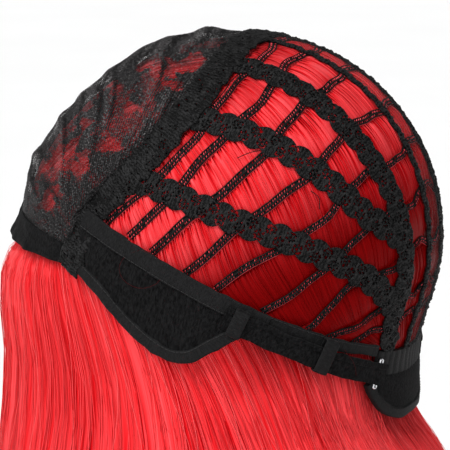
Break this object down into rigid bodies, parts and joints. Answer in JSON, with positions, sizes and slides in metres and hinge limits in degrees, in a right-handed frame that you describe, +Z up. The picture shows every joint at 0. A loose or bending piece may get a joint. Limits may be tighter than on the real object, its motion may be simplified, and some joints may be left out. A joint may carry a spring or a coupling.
{
  "type": "cosplay wig",
  "caption": "Wig turned inside out: a stretch cap of lace, sewn wefts and velvet tabs with hooked adjuster straps, over straight red hair that hangs below its rim.",
  "frame": {"origin": "inside of the crown, where the top of the head sits", "axes": "+Z up, the face toward -Y, the wearer's left toward +X"},
  "size_m": [0.1862, 0.2367, 0.3933],
  "materials": {
    "velvet": "black stretch velvet",
    "lace": "black stretch lace",
    "sheer_lace": "sheer black lace",
    "tape": "black woven tape",
    "weft": "black thread sewn through red fibre",
    "hair": "glossy red synthetic fibre",
    "steel": "bright wire"
  },
  "bodies": {
    "root": {"crown_seam": "lace", "ear_tab_binding_left": "tape", "ear_tab_binding_right": "tape", "ear_tab_left": "velvet", "ear_tab_right": "velvet", "front_band": "velvet", "front_lace": "sheer_lace", "hair_crown": "hair", "hair_fall_back": "hair", "hair_fall_back_left": "hair", "hair_fall_back_right": "hair", "hair_fall_front": "hair", "hair_fall_front_left": "hair", "hair_fall_front_right": "hair", "hair_fall_left": "hair", "hair_fall_right": "hair", "hair_upper_back": "hair", "hair_upper_back_left": "hair", "hair_upper_back_right": "hair", "hair_upper_front": "hair", "hair_upper_front_left": "hair", "hair_upper_front_right": "hair", "hair_upper_left": "hair", "hair_upper_right": "hair", "lace_band_lower_left": "lace", "lace_band_lower_right": "lace", "lace_band_middle_left": "lace", "lace_band_middle_right": "lace", "lace_band_upper_left": "lace", "lace_band_upper_right": "lace", "nape_elastic": "tape", "nape_tab": "velvet", "nape_tab_binding": "tape", "rim_tape_left": "tape", "rim_tape_right": "tape", "spine_band": "lace", "strap_hook_left": "steel", "strap_hook_right": "steel", "strap_keeper_back_left": "tape", "strap_keeper_back_right": "tape", "strap_keeper_front_left": "tape", "strap_keeper_front_right": "tape", "strap_left": "velvet", "strap_right": "velvet", "weft_1": "weft", "weft_2": "weft", "weft_3": "weft", "weft_4": "weft", "weft_5": "weft", "weft_6": "weft", "weft_7": "weft", "weft_8": "weft", "weft_9": "weft"}
  },
  "joints": []
}
